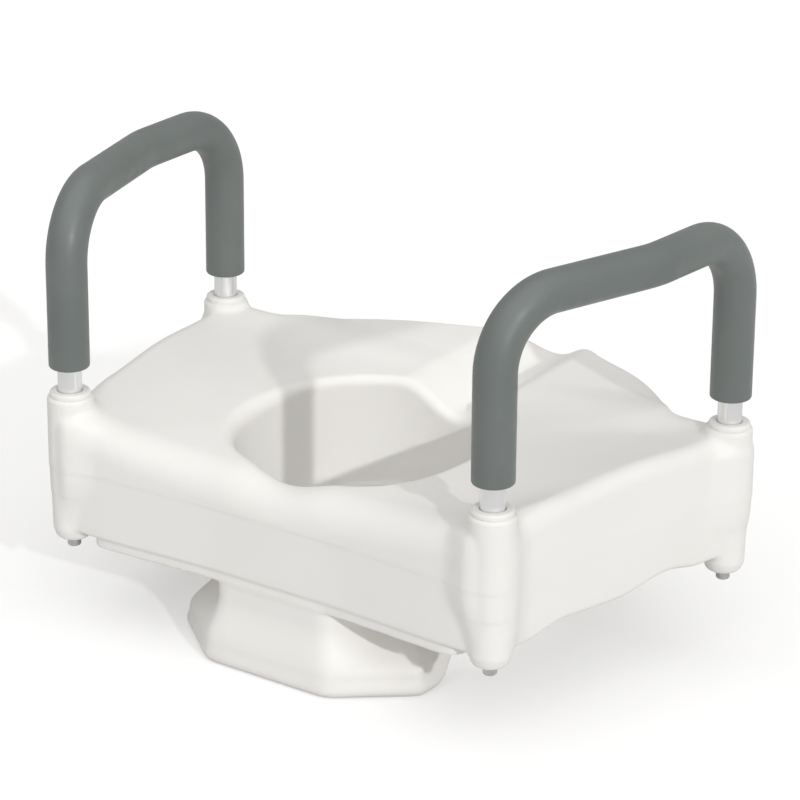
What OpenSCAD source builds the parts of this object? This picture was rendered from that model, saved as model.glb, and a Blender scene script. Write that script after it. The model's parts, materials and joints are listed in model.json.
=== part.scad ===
// Raised toilet seat with two removable padded arms and a front clamp.
// Millimetres. +X is the user's right, +Y the front, +Z up.
// The origin is the centre of the seat on the plane that rests on the bowl rim.

/* [Seat] */
// Height of the socket mouths above the rest plane
socket_z = 130; // [115:1:150]
// Depth of the rear wall behind the origin
rear_y = 142; // [140:1:150]
// Reach of the nose in front of the origin, before its rounding
nose_reach = 292; // [285:1:300]
// Wall of the hollow moulding
wall = 4; // [3:0.5:5]
// Half width of the opening
hole_half = 103; // [90:1:106]
// Reach of the opening towards the back
hole_rear = 104; // [95:1:106]
// Reach of the opening towards the front
hole_front = 120; // [110:1:125]

/* [Arms] */
// Half distance between the two rear legs
leg_rear_x = 211; // [208:1:216]
// Half distance between the two front legs
leg_front_x = 260; // [256:1:265]
// Distance of every leg from the middle, front to back
leg_y = 133; // [130:1:136]
// Outside diameter of the arm tube
tube_d = 20; // [18:1:22]
// Wall of the arm tube
tube_wall = 1.5; // [1:0.25:2]
// Height of the arm rail above the socket mouths
rail_h = 162; // [140:1:190]
// Bend radius at the top of each leg
bend_r = 55; // [45:1:60]
// Outside diameter of the foam grip
grip_d = 34; // [30:1:38]
// Bare tube between socket and grip
bare_leg = 20; // [12:1:30]

/* [Rear guard] */
// Depth of the guard below the rest plane
guard_drop = 70; // [50:1:75]
// Thickness of the guard
guard_t = 13; // [10:1:16]

/* [Front clamp] */
// Diameter of the clamp knob
knob_d = 50; // [44:1:54]
// Advance of the clamp bracket for one turn of the knob
clamp_pitch = 3; // [2:0.5:4]

/* [Hidden] */

SEAT_WHITE = [0.93, 0.93, 0.92];
GRIP_GREY = [0.44, 0.47, 0.46];
ALUMINIUM = [0.80, 0.81, 0.82];
ZINC = [0.66, 0.67, 0.68];
DARK = [0.18, 0.18, 0.19];
ROUND = 64;

// ---- Plan outlines, as reach from the origin along a direction ----

RINGS = 96;          // sections of the seat shell around the opening
CAVITY_RINGS = 64;   // sections of the cavity inside it
FAR = 100000;        // reach of an edge that a direction never meets

function unit(a) = [cos(a), sin(a)];
function sum(v, i = 0) = i < len(v) ? v[i] + sum(v, i + 1) : 0;
function edge_reach(u, n, d) = let (c = u * n) c > 0.01 ? d / c : FAR;
function soft_min(reaches, p) = pow(sum([for (r = reaches) pow(r / 100, -p)]), -1 / p) * 100;
function soft_max(a, b, p) = pow(pow(a / 100, p) + pow(b / 100, p), 1 / p) * 100;

leg_lean = atan((leg_front_x - leg_rear_x) / (2 * leg_y));
side_n = [cos(leg_lean), -sin(leg_lean)];
side_out = 10;       // how far the side wall stands outside the legs' centres
side_d = side_n * [(leg_rear_x + leg_front_x) / 2, 0] + side_out;
front_y = 146;
flank_n = [0.566, 0.824];
flank_d = nose_reach * flank_n[1];
BOX_ROUND = 26;
NOSE_ROUND = 15;
VALLEY_ROUND = 40;

function mirror_x(n) = [-n[0], n[1]];
function box_reach(u, d_side, d_rear, d_front) = soft_min([
    edge_reach(u, side_n, d_side), edge_reach(u, mirror_x(side_n), d_side),
    edge_reach(u, [0, -1], d_rear), edge_reach(u, [0, 1], d_front)], BOX_ROUND);
nose_half = 212;     // the nose dies into the front wall here
function nose_edge(u, d) = soft_min([
    edge_reach(u, flank_n, d), edge_reach(u, mirror_x(flank_n), d),
    edge_reach(u, [1, 0], nose_half), edge_reach(u, [-1, 0], nose_half)], NOSE_ROUND);
flank_bulge = 7;     // the nose's flanks swell this far beyond a straight line
function trough(x, half) = abs(x) < half ? pow(cos(90 * x / half), 2) : 0;
function out_reach(u) =
    soft_max(box_reach(u, side_d, rear_y, front_y), u[1] > 0.2 ? nose_edge(u, flank_d) : 1, VALLEY_ROUND)
    + (u[1] > 0 ? flank_bulge * trough(abs(u[0]) - 0.51, 0.33) : 0);

// The opening is squarer at the back than at the front
HOLE_POWER = [2.3, 2.7];
function hole_reach(u) =
    let (
        l = u[1] > 0 ? hole_front : hole_rear,
        p = HOLE_POWER[u[1] > 0 ? 0 : 1]
    )
    pow(pow(abs(u[0]) / hole_half, p) + pow(abs(u[1]) / l, p), -1 / p);

foot_half = 180;     // half width of the foot that stands on the bowl rim
foot_rear = 138;
foot_front = 238;
function foot_reach(u) = min(out_reach(u) - 4, soft_min([
    edge_reach(u, [1, 0], foot_half), edge_reach(u, [-1, 0], foot_half),
    edge_reach(u, [0, -1], foot_rear), edge_reach(u, [0, 1], foot_front),
    edge_reach(u, flank_n, flank_d - 22), edge_reach(u, mirror_x(flank_n), flank_d - 22)], 40));

// ---- Height of the seat's upper face ----

crest_drop = 9;      // crest along both sides, below the socket mouths
dish = 12;           // the opening's rim lies this far below that crest
side_rise = 4;       // gentle rise of that crest towards the middle of each side
rear_dip = 31;       // drop of the middle of the rear edge
rim_rear_dip = 10;   // drop of the rim at the back, below its sides
front_dip = 9;       // drop of the nose
rim_front_dip = 7;   // drop of the rim at the front, below its sides
notch_depth = 12;    // shallow notch in the rim at the back
notch_half = 50;
channel_back = 26;   // depth of the front channel where it leaves the opening
channel_front = 20;  // depth of the front channel at the nose
channel_half = 52;

function clamp01(t) = max(0, min(1, t));
function ease(t) = let (c = clamp01(t)) c * c * (3 - 2 * c);
function edge_fall(x, y) = rear_dip * (1 - pow(clamp01(abs(x) / 220), 2.2)) * ease((-y - 20) / 95)
    + front_dip * ease((y - 210) / 45) - side_rise * trough(y - 20, 85);
function rim_fall(u) = dish + (u[1] < 0 ? rim_rear_dip : rim_front_dip) * u[1] * u[1];
function notch_fall(x, y) = y < 0 ? notch_depth * trough(x, notch_half) * (1 - ease((-y - hole_rear) / 36)) : 0;
function channel_fall(x, y) = y > 0
    ? (channel_back + (channel_front - channel_back) * clamp01((y - 120) / 155)) * trough(x, channel_half)
    : 0;
function top_z(x, y) =
    let (
        r = norm([x, y]),
        u = [x, y] / r,
        r_in = hole_reach(u),
        s = pow(clamp01((r - r_in) / (out_reach(u) - r_in)), 1.4)
    )
    socket_z - crest_drop - (1 - s) * rim_fall(u) - s * edge_fall(x, y) - notch_fall(x, y) - channel_fall(x, y);

rim_r = 14;          // rounding of the opening's rim
shoulder_r = 10;     // rounding of the outer edge
function round_drop(r, s) = s >= r ? 0 : r - sqrt(r * r - pow(r - s, 2));

// Lower edge of the outer wall: arched between the legs, low along the back
side_bottom = 18;
rear_bottom = 8;
function wall_bottom(p) = p[1] < -100 ? rear_bottom + (side_bottom - rear_bottom) * ease((p[1] + 135) / 35)
    : side_bottom;

// ---- The seat shell as rings of points around the opening ----

draft = 2;           // how far the outer wall leans in below its parting line
parting_z = socket_z - 65;
ARC = [0, 0.08, 0.3, 0.62, 1];
TOP = [0.25, 0.5, 0.75];

// Points round the lower lip of the opening, from the foot to the opening's wall
lip_out = 9;
lip_h = 4;
LIP = [for (t = [0:1 / 8:1]) [lip_out * cos(90 * t), lip_h * (1 - cos(90 * t))]];

// The rear guard hangs from that lip into the bowl and wraps round to both sides
guard_flat = 60;     // half width of its flat back
guard_half = 121;
guard_back = rear_y + 4;
guard_diag_n = [0.631, -0.776];
guard_flare = 20;
function guard_reach(u) = soft_min([
    edge_reach(u, [0, -1], guard_back),
    edge_reach(u, guard_diag_n, guard_diag_n * [guard_flat, -guard_back]),
    edge_reach(u, mirror_x(guard_diag_n), guard_diag_n * [guard_flat, -guard_back]),
    edge_reach(u, [1, 0], guard_half), edge_reach(u, [-1, 0], guard_half)], 70);
function guard_share(u) = ease((-u[1] - 0.1) / 0.45);
function guard_lip(u, r_in) =
    let (
        r = guard_reach(u),
        neck = r - guard_flare,
        low = -guard_drop,
        g = guard_share(u),
        wide = neck + guard_flare * g,
        full = [[neck, 0], [neck - 1, -4], [wide - 5 * g, low * 0.42], [wide, low * 0.66], [wide - 3, low * 0.9],
                [r - 9, low], [r - guard_t - 4, low], [max(neck - guard_t, r_in + 0.5), low * 0.4],
                [r_in, 0]]
    )
    [for (i = [0:len(LIP) - 1]) (1 - g) * (LIP[i] + [r_in, 0]) + g * full[i]];

function section(a, inset) =
    let (
        u = unit(a),
        r_in = hole_reach(u) + inset,
        r_out = out_reach(u) - inset,
        rim = rim_r - inset * 0.5,
        shoulder = shoulder_r - inset * 0.5,
        r_a = r_in + rim,
        r_b = r_out - shoulder,
        floor_z = inset,
        foot = min(foot_reach(u) - inset, r_out - 1),
        steps = concat([for (t = ARC) r_in + rim * t],
                       [for (t = TOP) r_a + (r_b - r_a) * t],
                       [for (i = [len(ARC) - 1:-1:0]) r_out - shoulder * ARC[i]]),
        low = wall_bottom(u * r_out) + inset,
        under = concat([[r_out, parting_z], [r_out - draft, low], [foot, low], [foot, floor_z]],
                       inset > 0 ? [[r_in, floor_z]] : guard_lip(u, r_in))
    )
    concat(
        [for (r = steps) let (p = u * r)
            [p[0], p[1], top_z(p[0], p[1]) - inset - round_drop(rim, r - r_in) - round_drop(shoulder, r_out - r)]],
        [for (q = under) [u[0] * q[0], u[1] * q[0], q[1]]]
    );

// Closed ring surface: every section is joined to the next one round the opening
function ring_faces(n, m) = [for (i = [0:n - 1], j = [0:m - 1], half = [0, 1])
    let (a = i * m, b = ((i + 1) % n) * m, k = (j + 1) % m)
    half == 0 ? [a + j, b + j, b + k] : [a + j, b + k, a + k]];

module shell_form(n, inset) {
    sections = [for (i = [0:n - 1]) section(360 * i / n, inset)];
    polyhedron(points = [for (s = sections) each s], faces = ring_faces(n, len(sections[0])), convexity = 8);
}

// ---- Legs and sockets ----

// Corners in the order rear left, rear right, front left, front right
CORNERS = [[-leg_rear_x, -leg_y], [leg_rear_x, -leg_y], [-leg_front_x, leg_y], [leg_front_x, leg_y]];
RL = 0;
RR = 1;
FL = 2;
FR = 3;
pillar_r = 19;
pillar_top = socket_z - 5;
pillar_foot = -0.5;
pillar_foot_r = 13.5;
pillar_edge = 3;
taper_mid = 14;      // the pillar narrows below these two heights
taper_top = 34;
socket_d = tube_d + 0.6;
socket_floor = 8;
sleeve_d = 25;
sleeve_len = 30;
bolt_d = 6;
bolt_hole_d = 6.6;

module at_corner(c) translate([CORNERS[c][0], CORNERS[c][1], 0]) children();

module pillar() rotate_extrude($fn = ROUND) polygon([
    [0, pillar_foot], [pillar_foot_r, pillar_foot], [pillar_foot_r + 3, pillar_foot + 1.5],
    [pillar_r - 1.5, taper_mid], [pillar_r, taper_top],
    [pillar_r, pillar_top - pillar_edge], [pillar_r - pillar_edge, pillar_top], [0, pillar_top]]);

module socket_cut() {
    translate([0, 0, socket_floor]) cylinder(d = socket_d, h = socket_z, $fn = ROUND);
    translate([0, 0, pillar_top - sleeve_len]) cylinder(d = sleeve_d, h = socket_z, $fn = ROUND);
    translate([0, 0, pillar_foot - 1]) cylinder(d = bolt_hole_d, h = socket_floor + 4, $fn = ROUND);
}

// ---- Front clamp ----

clamp_z = 42;        // height of the clamp screw
screw_d = 8;
pocket_half = 25;
pocket_from = 126;
pocket_to = 246;
pocket_top = 66;
pocket_depth = 20;   // how far below the rest plane the pocket's cut starts
nose_face_y = 268;   // flat recess for the clamp knob and its washer
recess_r = 27;
slider_gap = 0.5;
boss_r = 31;         // solid boss round the clamp screw

module pocket(grow) {
    translate([-pocket_half - grow, pocket_from - grow, -pocket_depth])
        cube([2 * (pocket_half + grow), pocket_to - pocket_from + 2 * grow, pocket_top + pocket_depth + grow]);
}

// Upright shapes laid along +Y on the clamp's axis, from a distance y
module along_y(y) translate([0, y, clamp_z]) rotate([-90, 0, 0]) children();
module rod(y, d, len) along_y(y) cylinder(d = d, h = len, $fn = ROUND);

module seat_body() color(SEAT_WHITE) difference() {
    union() {
        shell_form(RINGS, 0);
        for (c = [RL, RR, FL, FR]) at_corner(c) pillar();
    }
    difference() {
        shell_form(CAVITY_RINGS, wall);
        for (c = [RL, RR, FL, FR])
            at_corner(c) cylinder(r = pillar_r, h = 3 * socket_z, center = true, $fn = ROUND);
        pocket(wall);
        rod(pocket_to, 2 * boss_r, nose_reach - pocket_to);
    }
    for (c = [RL, RR, FL, FR]) at_corner(c) socket_cut();
    pocket(0);
    rod(pocket_to - 1, screw_d + 0.8, nose_reach - pocket_to);
    rod(nose_face_y, 2 * recess_r, nose_reach - nose_face_y);
}

collar_r = pillar_r - 2;
collar_edge = 2;
sleeve_foot = pillar_top - sleeve_len + 1;

module socket_collar(c) color(SEAT_WHITE) at_corner(c) rotate_extrude($fn = ROUND) polygon([
    [socket_d / 2, sleeve_foot], [sleeve_d / 2, sleeve_foot],
    [sleeve_d / 2, pillar_top], [collar_r, pillar_top], [collar_r, socket_z - collar_edge],
    [collar_r - collar_edge, socket_z], [socket_d / 2 + 1, socket_z], [socket_d / 2, socket_z - 1]]);

// ---- Arms ----

tube_foot = socket_floor + 2;
rail_z = socket_z + rail_h;
kink = [255, 18];
kink_r = 90;

// Route of an arm on the user's right: rear leg, rail with one kink, front leg
function arm_route(foot_z) = [
    [leg_rear_x, -leg_y, foot_z], [leg_rear_x, -leg_y, rail_z], [kink[0], kink[1], rail_z],
    [leg_front_x, leg_y, rail_z], [leg_front_x, leg_y, foot_z]];
ARM_BENDS = [0, bend_r, kink_r, bend_r, 0];

function dir(a, b) = (b - a) / norm(b - a);
function flat_part(v, d) = let (w = v - d * (v * d)) w / norm(w);

// Points and directions of one rounded corner
BEND_STEPS = 9;
function bend(a, b, c, r) =
    let (
        d1 = dir(a, b),
        d2 = dir(b, c),
        turn = acos(d1 * d2),
        inward = flat_part(d2, d1),
        start = b - d1 * r * tan(turn / 2)
    )
    [for (k = [0:BEND_STEPS]) let (t = turn * k / BEND_STEPS)
        [start + (d1 * sin(t) + inward * (1 - cos(t))) * r, d1 * cos(t) + inward * sin(t)]];
function rounded(p, r) = concat(
    [[p[0], dir(p[0], p[1])]],
    [for (i = [1:len(p) - 2]) each bend(p[i - 1], p[i], p[i + 1], r[i])],
    [[p[len(p) - 1], dir(p[len(p) - 2], p[len(p) - 1])]]);

// Pipe along a rounded route; across is never in line with the route
PIPE_SIDES = 24;
module bent_pipe(route, across, r_out, r_in) {
    n = len(route);
    m = 2 * PIPE_SIDES;
    polyhedron(
        points = [for (q = route) let (x = flat_part(across, q[1]), y = cross(q[1], x))
            each [for (r = [r_out, r_in], k = [0:PIPE_SIDES - 1])
                q[0] + (x * cos(360 * k / PIPE_SIDES) + y * sin(360 * k / PIPE_SIDES)) * r]],
        faces = concat(
            [for (i = [0:n - 2], k = [0:PIPE_SIDES - 1])
                let (a = i * m, b = a + m, l = (k + 1) % PIPE_SIDES, c = PIPE_SIDES)
                each [[a + k, b + k, b + l], [a + k, b + l, a + l],
                      [a + c + k, b + c + l, b + c + k], [a + c + k, a + c + l, b + c + l]]],
            [for (k = [0:PIPE_SIDES - 1]) let (l = (k + 1) % PIPE_SIDES, c = PIPE_SIDES, e = (n - 1) * m)
                each [[k, l, c + l], [k, c + l, c + k],
                      [e + k, e + c + l, e + l], [e + k, e + c + k, e + c + l]]]),
        convexity = 8);
}

module on_side(s) mirror([s < 0 ? 1 : 0, 0, 0]) children();

// The legs are true tubes up into the grip; the bent rail is let into their ends
leg_cover = 20;      // length of true leg inside the grip
leg_top = socket_z + bare_leg + leg_cover;
let_in = 4;
skin = 0.04;
rail_side = [side_n[0], side_n[1], 0];

module arm_tube(s) color(ALUMINIUM) on_side(s) {
    bent_pipe(rounded(arm_route(leg_top - let_in), ARM_BENDS), rail_side,
        tube_d / 2 - skin, tube_d / 2 - tube_wall + 3 * skin);
    for (c = [RR, FR]) translate([CORNERS[c][0], CORNERS[c][1], tube_foot]) difference() {
        cylinder(d = tube_d, h = leg_top - tube_foot, $fn = ROUND);
        translate([0, 0, -1]) cylinder(d = tube_d - 2 * tube_wall, h = leg_top, $fn = ROUND);
    }
}

module arm_grip(s) color(GRIP_GREY) on_side(s)
    bent_pipe(rounded(arm_route(socket_z + bare_leg), ARM_BENDS), rail_side,
        grip_d / 2, tube_d / 2 / cos(180 / PIPE_SIDES) + skin);

// ---- Leg ends: plug, nut and bolt ----

plug_len = 26;
plug_rim = 1.5;
plug_d = tube_d - 2 * tube_wall;
nut_across = 10;
nut_h = 5;
nut_z = tube_foot + 8;
thread_d = bolt_d + 0.1;

module nut_prism(across, h) cylinder(d = across / cos(30), h = h, $fn = 6);

module tube_plug(c) color(DARK) at_corner(c) difference() {
    translate([0, 0, tube_foot - plug_rim]) union() {
        cylinder(d = plug_d, h = plug_len + plug_rim, $fn = ROUND);
        cylinder(d = tube_d, h = plug_rim, $fn = ROUND);
    }
    translate([0, 0, tube_foot - 2 * plug_rim]) cylinder(d = bolt_hole_d, h = plug_len + 4 * plug_rim, $fn = ROUND);
    translate([0, 0, nut_z]) nut_prism(nut_across, nut_h);
}

module plug_nut(c) color(ZINC) at_corner(c) difference() {
    translate([0, 0, nut_z]) nut_prism(nut_across, nut_h);
    translate([0, 0, nut_z - 1]) cylinder(d = thread_d, h = nut_h + 2, $fn = ROUND);
}

bolt_len = 26;
bolt_head_d = 11.5;
bolt_head_h = 7;
washer_d = 13;
washer_h = 1.2;
bolt_seat = pillar_foot - washer_h;
bolt_low = bolt_seat - bolt_head_h;
hex_key = 4;
hex_depth = 3;

module arm_bolt(c) color(ZINC) at_corner(c) difference() {
    union() {
        translate([0, 0, bolt_seat]) cylinder(d = bolt_d, h = bolt_len, $fn = ROUND);
        translate([0, 0, bolt_seat]) cylinder(d = washer_d, h = washer_h, $fn = ROUND);
        rotate_extrude($fn = ROUND) polygon([
            [0, bolt_low], [bolt_head_d / 2 - 1.8, bolt_low], [bolt_head_d / 2 - 0.6, bolt_low + 0.9],
            [bolt_head_d / 2, bolt_low + 2.2], [bolt_head_d / 2, bolt_seat], [0, bolt_seat]]);
    }
    translate([0, 0, bolt_low - 1]) nut_prism(hex_key, hex_depth + 1);
}

knob_t = 22;
knob_y = nose_face_y + 2;
knob_hub_d = 26;
knob_hub_h = 4;
knob_cap = 6;        // plastic over the end of the screw
KNOB_LOBES = 6;
lobe_bite = 9;
screw_from = 150;
screw_to = knob_y + knob_t - knob_cap;

module lobed(d, lobes, bite) difference() {
    circle(d = d, $fn = ROUND);
    for (i = [0:lobes - 1]) rotate(360 * (i + 0.5) / lobes)
        translate([d / 2 + bite * 0.55, 0]) circle(r = bite, $fn = ROUND);
}

module clamp_knob() color(DARK) difference() {
    union() {
        along_y(knob_y + knob_hub_h) linear_extrude(knob_t - knob_hub_h) lobed(knob_d, KNOB_LOBES, lobe_bite);
        rod(knob_y, knob_hub_d, knob_hub_h + 1);
    }
    rod(knob_y - 1, screw_d, screw_to - knob_y + 1);
}

module clamp_screw() color(ZINC) rod(screw_from, screw_d, screw_to - screw_from);

clamp_washer_d = 24;
loose = 0.1;

module clamp_washer() color(ZINC) difference() {
    rod(nose_face_y, clamp_washer_d, knob_y - nose_face_y);
    rod(nose_face_y - 1, screw_d + loose, knob_y - nose_face_y + 2);
}

bracket_y = 176;     // front face of the hanging blade
bracket_half = pocket_half - slider_gap;
blade_t = 10;
blade_low = -46;
block_len = 34;
block_low = 4;
block_top = pocket_top - slider_gap;
clamp_nut_across = 13;
clamp_nut_h = 6.5;
clamp_nut_y = bracket_y - 16;
pad_t = 5;
pad_w = 40;
pad_h = 34;

module clamp_bracket() color(SEAT_WHITE) difference() {
    union() {
        translate([-bracket_half, bracket_y - block_len, block_low])
            cube([2 * bracket_half, block_len, block_top - block_low]);
        translate([-bracket_half, bracket_y - blade_t, blade_low])
            cube([2 * bracket_half, blade_t, block_low - blade_low + 1]);
    }
    rod(bracket_y - block_len - 1, screw_d + 1, block_len + 2);
    along_y(clamp_nut_y) nut_prism(clamp_nut_across, clamp_nut_h);
}

module clamp_nut() color(ZINC) difference() {
    along_y(clamp_nut_y) nut_prism(clamp_nut_across, clamp_nut_h);
    rod(clamp_nut_y - 1, screw_d + loose, clamp_nut_h + 2);
}

module clamp_pad() color(DARK)
    translate([-pad_w / 2, bracket_y, blade_low + 4]) cube([pad_w, pad_t, pad_h]);

seat_body();
socket_collar(RL);  // socket_collar_rear_left
socket_collar(RR);  // socket_collar_rear_right
socket_collar(FL);  // socket_collar_front_left
socket_collar(FR);  // socket_collar_front_right
arm_tube(-1);  // arm_tube_left
arm_tube(1);  // arm_tube_right
arm_grip(-1);  // arm_grip_left
arm_grip(1);  // arm_grip_right
tube_plug(RL);  // tube_plug_rear_left
tube_plug(RR);  // tube_plug_rear_right
tube_plug(FL);  // tube_plug_front_left
tube_plug(FR);  // tube_plug_front_right
plug_nut(RL);  // plug_nut_rear_left
plug_nut(RR);  // plug_nut_rear_right
plug_nut(FL);  // plug_nut_front_left
plug_nut(FR);  // plug_nut_front_right
arm_bolt(RL);  // arm_bolt_rear_left
arm_bolt(RR);  // arm_bolt_rear_right
arm_bolt(FL);  // arm_bolt_front_left
arm_bolt(FR);  // arm_bolt_front_right
clamp_knob();
clamp_screw();
clamp_washer();
clamp_bracket();
clamp_nut();
clamp_pad();
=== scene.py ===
import json
import math

import bmesh
import bpy
import numpy as np
from mathutils import Matrix, Vector


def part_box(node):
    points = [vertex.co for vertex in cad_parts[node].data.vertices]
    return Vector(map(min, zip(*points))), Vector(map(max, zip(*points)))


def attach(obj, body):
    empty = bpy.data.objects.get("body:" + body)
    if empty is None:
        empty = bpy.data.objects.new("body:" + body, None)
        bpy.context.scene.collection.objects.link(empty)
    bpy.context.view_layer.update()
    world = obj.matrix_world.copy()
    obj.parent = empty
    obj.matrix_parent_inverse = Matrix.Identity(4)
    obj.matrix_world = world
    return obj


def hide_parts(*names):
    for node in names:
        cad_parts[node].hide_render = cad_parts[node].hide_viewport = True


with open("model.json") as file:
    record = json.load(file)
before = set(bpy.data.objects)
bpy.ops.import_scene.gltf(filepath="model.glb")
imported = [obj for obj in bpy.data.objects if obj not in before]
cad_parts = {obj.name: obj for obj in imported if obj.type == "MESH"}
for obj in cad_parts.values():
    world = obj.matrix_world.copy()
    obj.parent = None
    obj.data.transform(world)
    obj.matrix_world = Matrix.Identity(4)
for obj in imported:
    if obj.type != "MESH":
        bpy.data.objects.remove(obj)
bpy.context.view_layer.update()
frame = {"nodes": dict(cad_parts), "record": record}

MM = 0.001
LEGS = ("rear_left", "rear_right", "front_left", "front_right")

# ---------------------------------------------------------------- the frame, in millimetres


def node_box(node):
    """Lowest and highest corner of a CAD node, in millimetres."""
    return tuple(np.array(corner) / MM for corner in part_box(node))


def node_centre(node):
    low, high = node_box(node)
    return (low + high) / 2


leg = {name: node_centre("socket_collar_" + name)[:2] for name in LEGS}
leg_rear, leg_front = leg["rear_right"], leg["front_right"]
socket_z = node_box("socket_collar_rear_right")[1][2]
seat_low, seat_high = node_box("seat_body")
guard_low = seat_low[2]
grip_low, grip_high = node_box("arm_grip_right")

# ---------------------------------------------------------------- camera and light

CAMERA_TURN = 35.78          # degrees round from straight behind the seat
CAMERA_LIFT = 20.79          # degrees above the horizon
CAMERA_ROLL = 0.43
CAMERA_DISTANCE = 2797.0
CAMERA_AIM = (22.7, -1.5)    # right of and above the middle of the socket mouths, in the view
LENS = 153.7
KEY_FROM, KEY_STRENGTH, KEY_WIDTH = (-27.7, 22), 1.05, 1.5       # low, sharp light that casts the shadows
FILL_FROM, FILL_STRENGTH, FILL_WIDTH = (-60, 70), 1.45, 90       # wide, soft light from overhead
WORLD_COLOUR, WORLD_STRENGTH = (1, 0.985, 0.96, 1), 0.37


def camera_axes():
    turn, lift, roll = (math.radians(v) for v in (CAMERA_TURN, CAMERA_LIFT, CAMERA_ROLL))
    ahead = Vector((-math.sin(turn) * math.cos(lift), math.cos(turn) * math.cos(lift), -math.sin(lift)))
    right = Vector((math.cos(turn), math.sin(turn), 0))
    up = right.cross(ahead)
    return (right * math.cos(roll) + up * math.sin(roll), up * math.cos(roll) - right * math.sin(roll), ahead)


def add_camera():
    right, up, ahead = camera_axes()
    place = Vector((0, 0, socket_z)) - ahead * CAMERA_DISTANCE + right * CAMERA_AIM[0] + up * CAMERA_AIM[1]
    data = bpy.data.cameras.new("camera")
    data.lens = LENS
    data.clip_start, data.clip_end = 0.1, 30
    camera = bpy.data.objects.new("camera", data)
    camera.matrix_world = Matrix.Translation(place * MM) @ Matrix((right, up, -ahead)).transposed().to_4x4()
    bpy.context.scene.collection.objects.link(camera)
    bpy.context.scene.camera = camera


def add_sun(name, come_from, strength, width):
    """Light that comes from a direction (azimuth from +X towards +Y, elevation), width degrees across."""
    data = bpy.data.lights.new(name, "SUN")
    data.energy, data.angle = strength, math.radians(width)
    turn, lift = (math.radians(v) for v in come_from)
    towards = Vector((math.cos(turn) * math.cos(lift), math.sin(turn) * math.cos(lift), math.sin(lift)))
    light = bpy.data.objects.new(name, data)
    light.rotation_euler = towards.to_track_quat("Z", "Y").to_euler()
    bpy.context.scene.collection.objects.link(light)


# ---------------------------------------------------------------- materials


def new_material(name):
    material = bpy.data.materials.new(name)
    material.use_nodes = True
    nodes = material.node_tree.nodes
    return material, nodes, material.node_tree.links, nodes["Principled BSDF"]


def noise(nodes, links, scale, detail=4.0):
    """Noise over object space, in features per metre."""
    place = nodes.new("ShaderNodeTexCoord")
    texture = nodes.new("ShaderNodeTexNoise")
    texture.inputs["Scale"].default_value = scale
    texture.inputs["Detail"].default_value = detail
    links.new(place.outputs["Object"], texture.inputs["Vector"])
    return texture.outputs["Fac"]


def ramp(nodes, links, source, low, high, start=0.35, end=0.65):
    """Colour ramp from low to high, each an RGB triple or a grey value."""
    node = nodes.new("ShaderNodeValToRGB")
    for element, position, value in zip(node.color_ramp.elements, (start, end), (low, high)):
        element.position = position
        element.color = (*(value if isinstance(value, tuple) else (value,) * 3), 1)
    links.new(source, node.inputs["Fac"])
    return node.outputs["Color"]


def bump(nodes, links, source, strength, depth, below=None):
    node = nodes.new("ShaderNodeBump")
    node.inputs["Strength"].default_value = strength
    node.inputs["Distance"].default_value = depth * MM
    links.new(source, node.inputs["Height"])
    if below is not None:
        links.new(below, node.inputs["Normal"])
    return node.outputs["Normal"]


def finish(name, shade, colour, roughness, patches, grains, metallic=0.0, uneven=0.06):
    """A material: a colour that drifts over patches, uneven gloss, and grains of (scale, strength, depth)."""
    material, nodes, links, shader = new_material(name)
    links.new(ramp(nodes, links, noise(nodes, links, patches, 3), shade, colour), shader.inputs["Base Color"])
    links.new(ramp(nodes, links, noise(nodes, links, patches * 6), roughness - uneven, roughness + uneven),
              shader.inputs["Roughness"])
    normal = None
    for scale, strength, depth in grains:
        normal = bump(nodes, links, noise(nodes, links, scale, 2), strength, depth, normal)
    links.new(normal, shader.inputs["Normal"])
    shader.inputs["Metallic"].default_value = metallic
    shader.inputs["IOR"].default_value = 1.5
    return material


def foam():
    """Soft foam with a faint sheen over its fine cells."""
    material = finish("grip_foam", (0.15, 0.17, 0.163), (0.166, 0.186, 0.179), 0.44, 14,
                      ((420, 0.2, 0.2), (1500, 0.3, 0.1)))
    shader = material.node_tree.nodes["Principled BSDF"]
    shader.inputs["Sheen Weight"].default_value = 0.12
    shader.inputs["Sheen Roughness"].default_value = 0.45
    shader.inputs["Sheen Tint"].default_value = (0.9, 0.95, 0.93, 1)
    return material


MATERIALS = {
    "seat_plastic": finish("seat_plastic", (0.895, 0.88, 0.852), (0.912, 0.898, 0.872), 0.5, 9,
                           ((26, 0.22, 0.5), (900, 0.12, 0.12))),
    "grip_foam": foam(),
    "arm_aluminium": finish("arm_aluminium", (0.9, 0.905, 0.91), (0.93, 0.935, 0.94), 0.24, 12,
                            ((300, 0.04, 0.02),), 0.9, 0.03),
    "zinc_steel": finish("zinc_steel", (0.52, 0.53, 0.54), (0.62, 0.63, 0.645), 0.3, 160,
                         ((900, 0.2, 0.06),), 1.0, 0.1),
    "dark_plastic": finish("dark_plastic", (0.03, 0.03, 0.034), (0.038, 0.038, 0.043), 0.45, 20,
                           ((700, 0.2, 0.12),)),
    "pad_rubber": finish("pad_rubber", (0.032, 0.032, 0.032), (0.042, 0.042, 0.042), 0.72, 30,
                         ((500, 0.3, 0.2),)),
}

# ---------------------------------------------------------------- shapes as distance fields

# Every function below takes arrays of coordinates in millimetres. A distance is negative inside.


def ease(t):
    c = np.clip(t, 0, 1)
    return c * c * (3 - 2 * c)


def both(a, b, r):
    """Inside a and inside b, their edge rounded to radius r."""
    u, v = np.maximum(r + a, 0), np.maximum(r + b, 0)
    return np.minimum(-r, np.maximum(a, b)) + np.sqrt(u * u + v * v)


def either(a, b, r):
    """Inside a or inside b, their corner filled to radius r."""
    return -both(-a, -b, r)


def eased(t, places, values):
    """A smooth line through a few values, level at each."""
    total = np.full(np.shape(t), float(values[0]))
    for a, b, before, after in zip(places, places[1:], values, values[1:]):
        total = total + (after - before) * ease((t - a) / (b - a))
    return total


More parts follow.
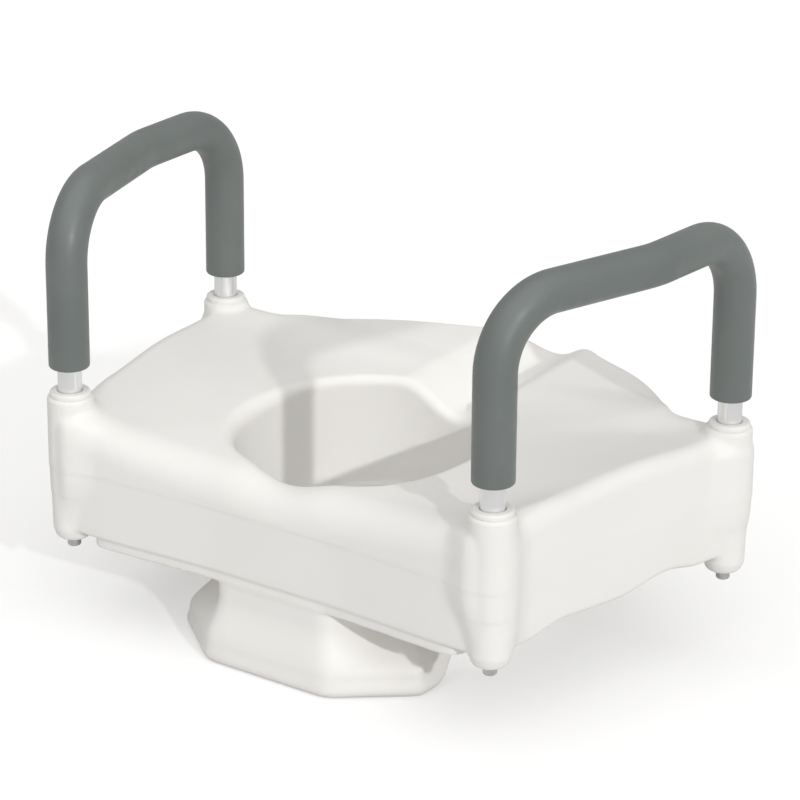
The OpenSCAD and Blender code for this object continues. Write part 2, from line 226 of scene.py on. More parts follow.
def edge_reach(ux, uy, n, d):
    c = ux * n[0] + uy * n[1]
    return np.where(c > 0.01, d / np.maximum(c, 0.01), 1e5)


def soft_min(reaches, p):
    return sum((r / 100) ** -p for r in reaches) ** (-1 / p) * 100


def polar(x, y):
    r = np.maximum(np.hypot(x, y), 1e-6)
    return r, x / r, y / r


def steepness(f, x, y):
    """How fast a function of x and y changes, per millimetre."""
    step = 0.5
    gx = (f(x + step, y) - f(x - step, y)) / (2 * step)
    gy = (f(x, y + step) - f(x, y - step)) / (2 * step)
    return np.hypot(gx, gy)


REAR_WALL = 142.0
FRONT_WALL = 146.0
SIDE_OUT = 10.0
lean = math.atan2(leg_front[0] - leg_rear[0], leg_front[1] - leg_rear[1])
side_normal = (math.cos(lean), -math.sin(lean))
side_reach = side_normal[0] * (leg_rear[0] + leg_front[0]) / 2 + SIDE_OUT
NOSE_REACH = 292.0
FLANK = (0.566, 0.824)
flank_reach = NOSE_REACH * FLANK[1]
NOSE_HALF = 212.0
FLANK_BULGE = 9.0
BULGE_AT, BULGE_HALF = 0.51, 0.33         # where on the flank it swells, as shares of the reach
BOX_POWER, NOSE_POWER, JOIN_POWER = 26, 15, 40         # the higher, the sharper the corners
HOLE_HALF, HOLE_REAR, HOLE_FRONT = 103.0, 104.0, 120.0
HOLE_POWER_REAR, HOLE_POWER_FRONT = 2.7, 2.3


def mirrored(n):
    return (-n[0], n[1])


def trough(x, half):
    return np.cos(np.pi / 2 * np.clip(x / half, -1, 1)) ** 2


def outline_reach(ux, uy):
    box = soft_min([edge_reach(ux, uy, n, d) for n, d in (
        (side_normal, side_reach), (mirrored(side_normal), side_reach),
        ((0, -1), REAR_WALL), ((0, 1), FRONT_WALL))], BOX_POWER)
    nose = soft_min([edge_reach(ux, uy, n, d) for n, d in (
        (FLANK, flank_reach), (mirrored(FLANK), flank_reach),
        ((1, 0), NOSE_HALF), ((-1, 0), NOSE_HALF))], NOSE_POWER)
    nose = np.where(uy > 0.2, nose, 1.0)
    swell = np.where(uy > 0, FLANK_BULGE * trough(np.abs(ux) - BULGE_AT, BULGE_HALF), 0)
    return ((box / 100) ** JOIN_POWER + (nose / 100) ** JOIN_POWER) ** (1 / JOIN_POWER) * 100 + swell


def outline_excess(x, y):
    r, ux, uy = polar(x, y)
    return r - outline_reach(ux, uy)


def hole_reach(ux, uy):
    length = np.where(uy > 0, HOLE_FRONT, HOLE_REAR)
    power = np.where(uy > 0, HOLE_POWER_FRONT, HOLE_POWER_REAR)
    return ((np.abs(ux) / HOLE_HALF) ** power + (np.abs(uy) / length) ** power) ** (-1 / power)


def hole_excess(x, y):
    r, ux, uy = polar(x, y)
    return r - hole_reach(ux, uy)


CREST_DROP, DISH, SIDE_RISE = 9.0, 12.0, 4.0
REAR_DIP, RIM_REAR_DIP = 25.0, 10.0
FRONT_RISE, FRONT_DIP, NOSE_DIP, RIM_FRONT_DIP = 3.0, 9.0, 4.0, 7.0
NOTCH_DEPTH, NOTCH_HALF = 8.0, 50.0
CHANNEL_BACK, CHANNEL_FRONT, CHANNEL_HALF = 26.0, 20.0, 52.0


def top_height(x, y):
    """Height of the upper face: a rim round the opening, a crest along the outer edge, a dish between."""
    r, ux, uy = polar(x, y)
    inner = hole_reach(ux, uy)
    across = np.clip((r - inner) / (outline_reach(ux, uy) - inner), 0, 1)
    crest = REAR_DIP * (1 - np.clip(np.abs(x) / 220, 0, 1) ** 2.2) * ease((-y - 20) / 95)
    crest = crest - SIDE_RISE * trough(y - 20, 85) - FRONT_RISE * ease((y - 100) / 35)
    crest = crest + FRONT_DIP * ease((y - 138) / 46) + NOSE_DIP * np.clip((y - 184) / 60, 0, 1)
    rim = DISH + np.where(uy < 0, RIM_REAR_DIP, RIM_FRONT_DIP) * uy ** 2
    share = across ** 1.4
    notch = np.where(y < 0, NOTCH_DEPTH * trough(x, NOTCH_HALF) * (1 - 0.5 * ease((-y - HOLE_REAR) / 36)), 0)
    depth = CHANNEL_BACK + (CHANNEL_FRONT - CHANNEL_BACK) * np.clip((y - 120) / 155, 0, 1)
    channel = np.where(y > 0, depth * trough(x, CHANNEL_HALF), 0)
    return socket_z - CREST_DROP - (1 - share) * rim - share * crest - notch - channel


def true_distance(excess, x, y):
    return excess(x, y) / np.maximum(steepness(excess, x, y), 0.2)


PARTING_Z = socket_z - 65
FOOT_HALF, FOOT_REAR, FOOT_FRONT = 180.0, 137.0, 238.0
FOOT_INSET, FOOT_POWER, FOOT_TOP = 22, 40, 30


def foot_excess(x, y):
    r, ux, uy = polar(x, y)
    return r - soft_min([edge_reach(ux, uy, n, d) for n, d in (
        ((1, 0), FOOT_HALF), ((-1, 0), FOOT_HALF), ((0, -1), FOOT_REAR), ((0, 1), FOOT_FRONT),
        (FLANK, flank_reach - FOOT_INSET), (mirrored(FLANK), flank_reach - FOOT_INSET))], FOOT_POWER)


GUARD_FLAT, GUARD_HALF, GUARD_DIAGONAL = 61.0, 122.0, (0.631, -0.776)
GUARD_POWER = 60
GUARD_NECK, GUARD_NECK_MORE = 9, 21      # pinched in by this much at its rear, and more at its sides
GUARD_DEPTHS, GUARD_NECK_SHARES = (0.2, 0.75, 0.9, 1), (1, 0.08, 0, 0.04)
GUARD_INNER_DEPTHS, GUARD_INSETS = (0, 0.5, 1), (42, 38, 21)
GUARD_EDGE_R, GUARD_TOP = 6, 6
guard_back = REAR_WALL + 4
guard_diagonal = GUARD_DIAGONAL[0] * GUARD_FLAT + GUARD_DIAGONAL[1] * -guard_back


def guard_excess(x, y):
    r, ux, uy = polar(x, y)
    return r - soft_min([edge_reach(ux, uy, n, d) for n, d in (
        ((0, -1), guard_back), (GUARD_DIAGONAL, guard_diagonal), (mirrored(GUARD_DIAGONAL), guard_diagonal),
        ((1, 0), GUARD_HALF), ((-1, 0), GUARD_HALF))], GUARD_POWER)


def guard_field(x, y, z, hole):
    """The splash guard that hangs from the rear of the opening and wraps round to both sides."""
    _, ux, uy = polar(x, y)
    share = ease((-uy - 0.1) / 0.45)
    guard = true_distance(guard_excess, x, y)
    depth = np.clip(z / guard_low, 0, 1)
    neck = GUARD_NECK + GUARD_NECK_MORE * ease((np.abs(ux) - 0.3) / 0.35)
    lean_out = eased(depth, GUARD_DEPTHS, GUARD_NECK_SHARES) * neck
    lean_in = eased(depth, GUARD_INNER_DEPTHS, GUARD_INSETS)
    skirt = both(both(guard + lean_out, -(guard + lean_in), 4), -hole - 0.5, 3)
    skirt = both(skirt, guard_low * share - z, GUARD_EDGE_R)
    return both(skirt, z - GUARD_TOP, 1)


REAR_FLARE = 6.0             # the rear wall swings out to the pillars by this much
LOW_EDGE_REAR = 9.0
LOW_EDGE_PLACES = (-120, -105, -62, 0, 55, 95)
LOW_EDGE_HEIGHTS = (12, 10, 17, 15, 22, 16)
PILLAR_STEP_Z = 41.0
PILLAR_FOOT = -0.5
PILLAR_FOOT_EDGE_R = 4.5
PILLAR_HEIGHTS = (PILLAR_FOOT, 9, PILLAR_STEP_Z - 0.6, PILLAR_STEP_Z + 0.6, PARTING_Z - 0.6, PARTING_Z + 0.4)
PILLAR_RADII = (14.0, 17.0, 17.6, 18.2, 18.7, 19.2)
COLLAR_H = 5.0
SLEEVE_R, SLEEVE_Z = 12.5, 95.0
SOCKET_R, SOCKET_FLOOR = 10.3, 8.0
BOLT_HOLE_R = 3.3
FRONT_FLUSH = 0.75
BLEND_FOOT, BLEND_WALL, BLEND_FLUSH = 3, 4, 16         # added up, from the foot to the side facing inward


def pillar_field(x, y, z, centre):
    """A leg pillar, and how widely it blends into the walls."""
    away_x, away_y = x - centre[0], y - centre[1]
    reach = np.maximum(np.hypot(away_x, away_y), 1e-6)
    post = reach - np.interp(z, PILLAR_HEIGHTS, PILLAR_RADII)
    post = both(both(post, z - (socket_z - COLLAR_H), 2), PILLAR_FOOT - z, PILLAR_FOOT_EDGE_R)
    inward = -away_x / reach * np.sign(centre[0])
    flush = ease((inward + 0.15) / 0.7) if centre[1] < 0 else FRONT_FLUSH
    low_blend = BLEND_FOOT + BLEND_WALL * ease((z - 8) / 20)
    return post, low_blend + BLEND_FLUSH * flush * ease((z - 20) / 40) * ease((socket_z - 12 - z) / 14)


def socket_field(x, y, z, centre):
    reach = np.hypot(x - centre[0], y - centre[1])
    sleeve = np.maximum(reach - SLEEVE_R, SLEEVE_Z - z)
    bore = np.maximum(reach - SOCKET_R, SOCKET_FLOOR - z)
    return np.minimum(np.minimum(sleeve, bore), reach - BOLT_HOLE_R)


CLAMP_Z = node_centre("clamp_screw")[2]
POCKET_HALF, POCKET_FROM, POCKET_TO, POCKET_TOP = 25.0, 126.0, 246.0, 66.0
RECESS_R, RECESS_FACE = 27.0, 268.0
SCREW_HOLE_R = 4.4


def clamp_room(x, y, z):
    """Room for the clamp: the slide's pocket, the screw's bore and the recess behind the knob."""
    pocket = np.maximum(np.maximum(np.abs(x) - POCKET_HALF, z - POCKET_TOP),
                        np.maximum(POCKET_FROM - y, y - POCKET_TO))
    reach = np.hypot(x, z - CLAMP_Z)
    bore = np.maximum(reach - SCREW_HOLE_R, POCKET_TO - 1 - y)
    recess = np.maximum(reach - RECESS_R, RECESS_FACE - y)
    return np.minimum(np.minimum(pocket, bore), recess)


EDGE_R, EDGE_R_REAR_MORE, EDGE_R_FRONT_LESS = 15, 12, 6
RIM_R, RIM_R_FRONT_LESS, RIM_R_BELOW = 13, 5, 4
DRAFT = 1.6                  # the walls come in by this much from the parting line down


def seat_field(x, y, z):
    """Signed distance, roughly, to the seat's moulding."""
    top = (z - top_height(x, y)) / np.sqrt(1 + steepness(top_height, x, y) ** 2)
    step = (0.5 - 0.3 * ease((y + 135) / 12)) * ease((PARTING_Z + 1 - z) / 2)
    flare = REAR_FLARE * ease((np.abs(x) - 50) / 140) * ease((-y - 100) / 30)
    out = true_distance(outline_excess, x, y) + step + DRAFT * np.clip((PARTING_Z - z) / 50, 0, 1) - flare
    hole = true_distance(hole_excess, x, y)
    side_low = eased(y, LOW_EDGE_PLACES, LOW_EDGE_HEIGHTS)
    low = LOW_EDGE_REAR + (side_low - LOW_EDGE_REAR) * ease((y + 138) / 18)
    edge_r = EDGE_R + EDGE_R_REAR_MORE * ease((-y - 60) / 70) - EDGE_R_FRONT_LESS * ease((y - 130) / 40)
    shell = both(top, out, edge_r)
    shell = both(shell, low - z, 4)
    foot = both(both(true_distance(foot_excess, x, y) - flare, -z, 2.5), z - FOOT_TOP, 1)
    body = either(shell, foot, 1.5)
    for centre in leg.values():
        post, blend = pillar_field(x, y, z, centre)
        body = either(body, post, blend)
    rim_r = RIM_R - RIM_R_FRONT_LESS * ease((y + 20) / 70)
    body = both(body, -hole, RIM_R_BELOW + (rim_r - RIM_R_BELOW) * ease((z - 20) / 50))
    body = either(body, guard_field(x, y, z, hole), 3)
    for centre in leg.values():
        body = both(body, -socket_field(x, y, z, centre), 0.6)
    return both(body, -clamp_room(x, y, z), 1)


SHARP_ANGLE = 60.0           # edges turned further than this are shaded sharp, in degrees


def field_slope(field, points, step=0.4):
    columns = []
    for axis in range(3):
        ahead, behind = points.copy(), points.copy()
        ahead[:, axis] += step
        behind[:, axis] -= step
        columns.append((field(*ahead.T) - field(*behind.T)) / (2 * step))
    return np.stack(columns, axis=1)


def onto_surface(field, points, rounds=3, longest=1.5):
    for _ in range(rounds):
        slope = field_slope(field, points)
        size = np.maximum((slope ** 2).sum(axis=1), 0.05)
        move = -(field(*points.T) / size)[:, None] * slope
        length = np.maximum(np.linalg.norm(move, axis=1), 1e-9)
        points = points + move * np.minimum(1, longest / length)[:, None]
    return points


def net_surface(field, low, high, cell):
    """Quads over the surface of a distance field: one corner for each grid cell that the surface crosses."""
    axes = [np.arange(a, b + cell, cell) for a, b in zip(low, high)]
    values = field(axes[0][:, None, None], axes[1][None, :, None], axes[2][None, None, :])
    inside = values < 0
    count = np.zeros(tuple(n - 1 for n in inside.shape), np.int8)
    for i in (0, 1):
        for j in (0, 1):
            for k in (0, 1):
                count += inside[i:i + count.shape[0], j:j + count.shape[1], k:k + count.shape[2]]
    mixed = (count > 0) & (count < 8)
    number = np.full(count.shape, -1, np.int64)
    number[mixed] = np.arange(mixed.sum())
    cells = np.argwhere(mixed)
    points = np.array(low) + (cells + 0.5) * cell
    quads = []
    for axis in range(3):
        a, b = [i for i in range(3) if i != axis]
        here = [slice(None)] * 3
        there = [slice(None)] * 3
        here[axis], there[axis] = slice(None, -1), slice(1, None)
        crossing = np.argwhere(inside[tuple(here)] != inside[tuple(there)])
        keep = (crossing[:, a] > 0) & (crossing[:, b] > 0) & (
            crossing[:, a] < inside.shape[a] - 1) & (crossing[:, b] < inside.shape[b] - 1)
        crossing = crossing[keep]
        leaving = inside[tuple(crossing.T)]
        corners = []
        for da, db in ((-1, -1), (0, -1), (0, 0), (-1, 0)):
            cell_at = crossing.copy()
            cell_at[:, a] += da
            cell_at[:, b] += db
            corners.append(number[tuple(cell_at.T)])
        quad = np.stack(corners, axis=1)
        forward = leaving if axis != 1 else ~leaving
        quad[~forward] = quad[~forward][:, ::-1]
        quads.append(quad)
    return points, np.concatenate(quads)


def relax(points, quads, share=0.5):
    """Moves every point part of the way to the middle of its neighbours."""
    a = np.concatenate([quads[:, i] for i in range(4)] * 2)
    b = np.concatenate([quads[:, (i + 1) % 4] for i in range(4)] + [quads[:, (i + 3) % 4] for i in range(4)])
    count = np.bincount(a, minlength=len(points))
    middle = np.stack([np.bincount(a, points[b, i], len(points)) for i in range(3)], axis=1) / count[:, None]
    return points + share * (middle - points)


def mesh_object(name, points, faces, slot, body, replaced=None):
    """A piece from points in millimetres and a list of face arrays, each of one kind."""
    sides = np.concatenate([np.full(len(group), len(group[0])) for group in faces])
    mesh = bpy.data.meshes.new(name)
    mesh.vertices.add(len(points))
    mesh.vertices.foreach_set("co", (np.asarray(points) * MM).ravel())
    mesh.loops.add(int(sides.sum()))
    mesh.loops.foreach_set("vertex_index", np.concatenate([np.asarray(group).ravel() for group in faces]))
    mesh.polygons.add(len(sides))
    mesh.polygons.foreach_set("loop_start", np.cumsum(sides) - sides)
    mesh.update(calc_edges=True)
    mesh.materials.append(MATERIALS[slot])
    outward = bmesh.new()
    outward.from_mesh(mesh)
    bmesh.ops.recalc_face_normals(outward, faces=outward.faces)
    outward.to_mesh(mesh)
    outward.free()
    mesh.set_sharp_from_angle(angle=math.radians(SHARP_ANGLE))
    mesh.polygons.foreach_set("use_smooth", np.ones(len(sides), bool))
    piece = bpy.data.objects.new(name, mesh)
    bpy.context.scene.collection.objects.link(piece)
    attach(piece, body)
    if replaced:
        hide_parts(replaced)
    return piece


def field_object(name, field, low, high, cell, slot, body, replaced):
    points, quads = net_surface(field, low, high, cell)
    points = onto_surface(field, points)
    for _ in range(2):
        points = onto_surface(field, relax(points, quads), 1)
    return mesh_object(name, points, [quads], slot, body, replaced)


CELL = 2.0
margin = np.array([6.0, 6.0, 6.0])
field_object("seat_moulding", seat_field, seat_low - margin, seat_high + margin, CELL,
             "seat_plastic", "seat", "seat_body")

# ---------------------------------------------------------------- swept pieces: arms and their grips

TUBE_R, TUBE_WALL = 10.0, 1.5
GRIP_R = (grip_high[2] - node_box("arm_tube_right")[1][2]) + TUBE_R
rail_z = grip_high[2] - GRIP_R
tube_foot = node_box("arm_tube_right")[0][2]
RAIL_KINK, KINK_R, BEND_R = (255.0, 18.0), 90.0, 55.0
SWEEP_SIDES = 48
SWEEP_STEP = 3.0


def unit(v):
    return v / np.linalg.norm(v)


def rounded_route(corners, radii):
    """Points along a route with rounded corners, and the direction at each point."""
    corners = [np.array(corner, float) for corner in corners]
    points, ahead = [corners[0]], [unit(corners[1] - corners[0])]
    for a, b, c, radius in zip(corners, corners[1:], corners[2:], radii):
        before, after = unit(b - a), unit(c - b)
        turn = math.acos(before @ after)
        inward = unit(after - before * (before @ after))
        start = b - before * radius * math.tan(turn / 2)
        count = math.ceil(turn * radius / SWEEP_STEP)
        for k in range(count + 1):
            t = turn * k / count
            points.append(start + (before * math.sin(t) + inward * (1 - math.cos(t))) * radius)
            ahead.append(before * math.cos(t) + inward * math.sin(t))
    return points + [corners[-1]], ahead + [unit(corners[-1] - corners[-2])]


def arm_route(side, foot_z):
    places = [(*leg_rear, foot_z), (*leg_rear, rail_z), (*RAIL_KINK, rail_z),
              (*leg_front, rail_z), (*leg_front, foot_z)]
    return rounded_route([(side * x, y, z) for x, y, z in places], (BEND_R, KINK_R, BEND_R))


def ring_faces(rings, sides, closed):
    """Quads that join each ring of points to the next, and the last to the first if closed."""
    a = np.arange(rings if closed else rings - 1)[:, None] * sides
    b = (a + sides) % (rings * sides)
    here = np.arange(sides)[None, :]
    there = (here + 1) % sides
    return np.stack([a + here, a + there, b + there, b + here], axis=-1).reshape(-1, 4)


def end_rounding(radius, edge, count=5):
    """Distance from the end and radius, from the end face round to the outside."""
    return [(edge * (1 - math.cos(t)), radius - edge * (1 - math.sin(t)))
            for t in np.linspace(0, math.pi / 2, count)]


def pipe(name, route, across, outer, inner, edge, slot, body, replaced):
    """A pipe along a route, its ends rounded over."""
    places, ahead = route
    start = [(places[0] + ahead[0] * along, ahead[0], r) for along, r in end_rounding(outer, edge)]
    stop = [(places[-1] - ahead[-1] * along, ahead[-1], r)
            for along, r in reversed(end_rounding(outer, edge))]
    middle = list(zip(places, ahead))[1:-1]
    back = [(places[-1], ahead[-1]), *reversed(middle), (places[0], ahead[0])]
    rings = start + [(p, d, outer) for p, d in middle] + stop + [(p, d, inner) for p, d in back]
    angle = np.linspace(0, math.tau, SWEEP_SIDES, endpoint=False)[:, None]
    points = []
    for place, direction, radius in rings:
        flat = unit(across - direction * (across @ direction))
        points.append(place + radius * (flat * np.cos(angle) + np.cross(direction, flat) * np.sin(angle)))
    return mesh_object(name, np.concatenate(points), [ring_faces(len(rings), SWEEP_SIDES, True)],
                       slot, body, replaced)


for side_name, side in (("left", -1), ("right", 1)):
    outward = np.array([side * side_normal[0], side_normal[1], 0])
    pipe("tube_" + side_name, arm_route(side, tube_foot), outward, TUBE_R, TUBE_R - TUBE_WALL, 0.6,
         "arm_aluminium", "arm_" + side_name, "arm_tube_" + side_name)
    grip = pipe("grip_" + side_name, arm_route(side, grip_low[2]), outward, GRIP_R, TUBE_R + 0.1, 2.5,
                "grip_foam", "arm_" + side_name, "arm_grip_" + side_name)

# ---------------------------------------------------------------- turned pieces: collars, bolts, knob


def arc(centre_r, centre_h, radius, start, stop, count=6):
    """Points (radius, height) along an arc, in degrees from outward towards upward."""
    return [(centre_r + radius * math.cos(t), centre_h + radius * math.sin(t))
            for t in np.radians(np.linspace(start, stop, count))]


def hexagon(angle):
    """Reach of a hexagon as a share of its corners' reach."""
    sixth = math.pi / 3
    return math.cos(sixth / 2) / np.cos((angle + sixth / 2) % sixth - sixth / 2)


def turned(name, profile, place, slot, body, replaced=None, outline=None, upright=True, sides=48):
    """A turned piece from a closed profile of (radius, height) or (radius, height, share of the outline).

    A profile that starts and ends on the axis is solid; its end rings are closed with fans.
    """
    angle = np.linspace(0, math.tau, sides, endpoint=False)
    shape = outline(angle) if outline else np.ones(sides)
    solid = profile[0][0] == 0
    rings = profile[1:-1] if solid else profile
    points = []
    for r, h, *share in rings:
        reach = r * (1 + (share[0] if share else 0) * (shape - 1))
        height = np.full(sides, float(h))
        points.append(np.stack([reach * np.cos(angle), reach * np.sin(angle), height], axis=1))
    points = np.concatenate(points)
    faces = [ring_faces(len(rings), sides, not solid)]
    if solid:
        here, total = np.arange(sides), len(points)
        there, last = (here + 1) % sides, (len(rings) - 1) * sides
        points = np.concatenate([points, [[0, 0, profile[0][1]], [0, 0, profile[-1][1]]]])
        faces.append(np.stack([here, there, np.full(sides, total)], axis=1))
        faces.append(np.stack([last + here, last + there, np.full(sides, total + 1)], axis=1))
    if not upright:
        points = points[:, [0, 2, 1]] * (1, 1, -1)
    return mesh_object(name, points + np.array(place), faces, slot, body, replaced)


collar_low = node_box("socket_collar_rear_right")[0][2]
shoulder_z = socket_z - COLLAR_H
COLLAR_R = 17.0
for name, centre in leg.items():
    collar = [(SOCKET_R, collar_low), (SLEEVE_R - 0.1, collar_low), (SLEEVE_R - 0.1, shoulder_z + 0.02),
              (COLLAR_R - 0.6, shoulder_z + 0.02), *arc(COLLAR_R - 0.8, shoulder_z + 0.9, 0.8, -80, 0, 4),
              *arc(COLLAR_R - 2.0, socket_z - 2.0, 2.0, 0, 90),
              *arc(SOCKET_R + 1.2, socket_z - 1.2, 1.2, 90, 180)]
    turned("collar_" + name, collar, (*centre, 0), "seat_plastic", "seat", "socket_collar_" + name)

bolt_low, bolt_high = (corner[2] for corner in node_box("arm_bolt_rear_right"))
WASHER_R, WASHER_H = 6.5, 1.2
BOLT_R, BOLT_HEAD_R, HEX_R, HEX_DEPTH = 3.0, 5.75, 2.6, 3.0
BOLT_PITCH, BOLT_THREAD = 1.0, 0.45
washer_z = PILLAR_FOOT - WASHER_H


def thread(radius, depth, pitch, low, high):
    """Rings of a shank with a groove for every pitch."""
    rows = int((high - low) / pitch)
    return [(radius - depth * (k % 2), low + (high - low) * k / (2 * rows)) for k in range(2 * rows + 1)]


for name, centre in leg.items():
    hex_top = bolt_low + HEX_DEPTH
    bolt = [(0, hex_top), (HEX_R * 0.96, hex_top, 1), (HEX_R, hex_top - 0.2, 1),
            (HEX_R, bolt_low + 0.25, 1), (HEX_R + 0.35, bolt_low, 0.5),
            *arc(BOLT_HEAD_R - 2.2, bolt_low + 2.2, 2.2, -90, 0), (BOLT_HEAD_R, washer_z - 0.05),
            (WASHER_R - 0.2, washer_z), (WASHER_R, washer_z + 0.2), (WASHER_R, washer_z + WASHER_H - 0.2),
            (WASHER_R - 0.2, PILLAR_FOOT), (BOLT_R, PILLAR_FOOT + 0.02),
            *thread(BOLT_R, BOLT_THREAD, BOLT_PITCH, PILLAR_FOOT + 1, bolt_high - 1),
            (BOLT_R - 0.8, bolt_high), (0, bolt_high)]
    turned("bolt_" + name, bolt, (*centre, 0), "zinc_steel", "bolt_" + name, "arm_bolt_" + name, hexagon)

knob_low, knob_high = (corner[1] for corner in node_box("clamp_knob"))
KNOB_R, KNOB_LOBES, LOBE_BITE_R, LOBE_BITE_AT = 25.0, 6, 9.0, 29.95
HUB_R, HUB_H = 13.0, 4.0
SCREW_R = 4.0


def lobes(angle):
    """Reach of the knob's outline, with a round bite between neighbouring lobes."""
    turn = math.tau / KNOB_LOBES
    off = angle % turn - turn / 2
    inside = LOBE_BITE_R ** 2 - (LOBE_BITE_AT * np.sin(off)) ** 2
    bite = np.where(inside > 0, LOBE_BITE_AT * np.cos(off) - np.sqrt(np.maximum(inside, 0)), 1e5)
    return soft_min([np.full(angle.shape, KNOB_R), bite], 24) / KNOB_R


knob_back = knob_low + HUB_H
knob = [(SCREW_R, knob_low), (HUB_R - 0.6, knob_low), (HUB_R, knob_low + 0.6), (HUB_R, knob_back - 1)]
knob += [(HUB_R + 1, knob_back, 0.2),
         *((r, h, 1) for r, h in arc(KNOB_R - 2.5, knob_back + 2.5, 2.5, -90, 0)),
         *((r, h, 1) for r, h in arc(KNOB_R - 4, knob_high - 4, 4, 0, 90)),
         (HUB_R + 4, knob_high, 0.6), (HUB_R + 1.5, knob_high - 0.5, 0.2), (HUB_R, knob_high - 1.6),
         (HUB_R - 4, knob_high - 2.0), (0.5, knob_high - 2.0)]
screw_low, screw_high = (corner[1] for corner in node_box("clamp_screw"))
knob += [(0.5, screw_high), (SCREW_R, screw_high)]
turned("knob", knob, (0, 0, CLAMP_Z), "dark_plastic", "knob", "clamp_knob", lobes, False, 144)

CLAMP_PITCH = 3.0
screw = [(0, screw_low), (SCREW_R - 1.2, screw_low),
         *thread(SCREW_R, 0.9, CLAMP_PITCH / 2, screw_low + 1, knob_low - 16),
         (SCREW_R, knob_low - 14), (SCREW_R, screw_high - 0.1), (0, screw_high - 0.1)]
turned("screw", screw, (0, 0, CLAMP_Z), "zinc_steel", "knob", "clamp_screw", None, False)

# ---------------------------------------------------------------- the clamp's slide and its pad


def rounded_box(x, y, z, low, high, r):
    sides = [np.maximum(a - v, v - b) for v, a, b in zip((x, y, z), low, high)]
    return both(both(sides[0], sides[1], r), sides[2], r)


bracket_low, bracket_high = node_box("clamp_bracket")
pad_low, pad_high = node_box("clamp_pad")
nut_low, nut_high = node_box("clamp_nut")
BLOCK_LOW, BLADE_T = 4.0, 10.0
PAD_RIBS = 6


def bracket_field(x, y, z):
    blade_back = bracket_high[1] - BLADE_T
    block = rounded_box(x, y, z, (*bracket_low[:2], BLOCK_LOW), bracket_high, 2)
    blade = rounded_box(x, y, z, (bracket_low[0], blade_back, bracket_low[2]),
                        (*bracket_high[:2], BLOCK_LOW + 8), 2.5)
    gusset = np.maximum(np.maximum(np.abs(np.abs(x) - 15) - 2, blade_back - y - (z - BLOCK_LOW) - 14),
                        np.maximum(y - blade_back - 1, z - BLOCK_LOW - 1))
    body = either(either(block, blade, 4), gusset, 1)
    reach = np.hypot(x, z - CLAMP_Z)
    nut = np.maximum(np.maximum(reach - (nut_high[0] - nut_low[0]) / 2, nut_low[1] - y), y - nut_high[1])
    return both(both(body, -(reach - SCREW_R - 0.5), 0.5), -nut, 0.2)


def pad_field(x, y, z):
    body = rounded_box(x, y, z, pad_low, pad_high, 1.5)
    wave = np.cos((z - pad_low[2]) / (pad_high[2] - pad_low[2]) * math.tau * PAD_RIBS)
    return np.maximum(body, y - pad_high[1] + 0.5 - 0.5 * wave)


SMALL_CELL = 0.8
edge = np.array([2.5, 2.5, 2.5])
field_object("bracket", bracket_field, bracket_low - edge, bracket_high + edge, SMALL_CELL,
             "seat_plastic", "bracket", "clamp_bracket")
field_object("pad", pad_field, pad_low - edge, pad_high + edge, SMALL_CELL,
             "pad_rubber", "bracket", "clamp_pad")

# ---------------------------------------------------------------- finishes of the carried-over nodes

slot_of = {part["node"]: part["material_slot"] for part in frame["record"]["subparts"]}
for node, piece in frame["nodes"].items():
    piece.data.materials.clear()
    piece.data.materials.append(MATERIALS[slot_of[node]])

# ---------------------------------------------------------------- studio

FLOOR_RADIUS = 7.0
FLOOR_Z = guard_low * MM
BACKDROP_HEIGHT = 6.0
STUDIO_SIDES = 64
FLOOR_GLOW = 0.35
GLOW_LIFT = 0.0002           # metres above the floor
FLOOR_GREY = 0.72


def studio_ring(z):
    turns = [math.tau * i / STUDIO_SIDES for i in range(STUDIO_SIDES)]
    return [(FLOOR_RADIUS * math.cos(t), FLOOR_RADIUS * math.sin(t), z) for t in turns]


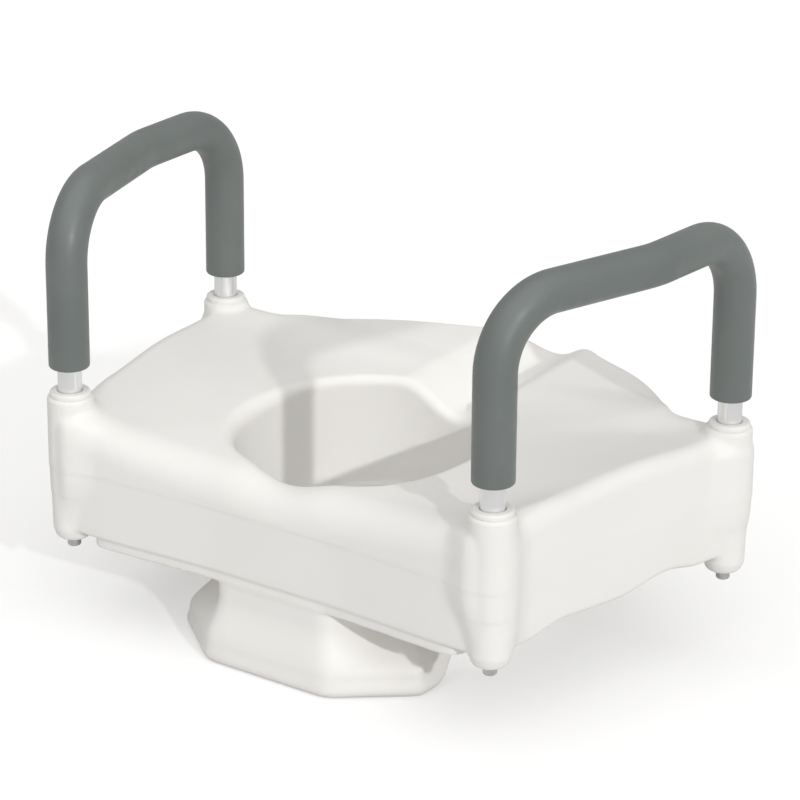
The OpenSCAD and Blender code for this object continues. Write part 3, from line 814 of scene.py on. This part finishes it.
def studio_object(name, points, faces, grey, glow):
    mesh = bpy.data.meshes.new(name)
    mesh.from_pydata(points, [], faces)
    material, _, _, shader = new_material(name)
    shader.inputs["Base Color"].default_value = (grey, grey, grey, 1)
    shader.inputs["Roughness"].default_value = 0.9
    shader.inputs["Specular IOR Level"].default_value = 0.1
    shader.inputs["Emission Color"].default_value = (1, 1, 1, 1)
    shader.inputs["Emission Strength"].default_value = glow
    mesh.materials.append(material)
    piece = bpy.data.objects.new(name, mesh)
    bpy.context.scene.collection.objects.link(piece)
    return piece


studio_object("floor", studio_ring(FLOOR_Z), [tuple(range(STUDIO_SIDES))], FLOOR_GREY, 0)
backdrop = studio_object("backdrop", studio_ring(FLOOR_Z) + studio_ring(BACKDROP_HEIGHT),
                         [(i, (i + 1) % STUDIO_SIDES, (i + 1) % STUDIO_SIDES + STUDIO_SIDES, i + STUDIO_SIDES)
                          for i in range(STUDIO_SIDES)], 0, 1)
backdrop.visible_diffuse = backdrop.visible_glossy = backdrop.visible_shadow = False

# A clear glow just over the floor lifts it to white for the camera and lights nothing
glow = studio_object("floor_glow", studio_ring(FLOOR_Z + GLOW_LIFT), [tuple(range(STUDIO_SIDES))],
                     0, FLOOR_GLOW)
glow_tree = glow.data.materials[0].node_tree
clear, add = glow_tree.nodes.new("ShaderNodeBsdfTransparent"), glow_tree.nodes.new("ShaderNodeAddShader")
glow_tree.links.new(clear.outputs[0], add.inputs[0])
glow_tree.links.new(glow_tree.nodes["Principled BSDF"].outputs[0], add.inputs[1])
glow_tree.links.new(add.outputs[0], glow_tree.nodes["Material Output"].inputs["Surface"])
glow.visible_diffuse = glow.visible_glossy = glow.visible_shadow = False

world = bpy.data.worlds.new("studio")
world.use_nodes = True
world.node_tree.nodes["Background"].inputs["Color"].default_value = WORLD_COLOUR
world.node_tree.nodes["Background"].inputs["Strength"].default_value = WORLD_STRENGTH
bpy.context.scene.world = world
bpy.context.scene.view_settings.view_transform = "Standard"
add_sun("key", KEY_FROM, KEY_STRENGTH, KEY_WIDTH)
add_sun("top_fill", FILL_FROM, FILL_STRENGTH, FILL_WIDTH)
add_camera()
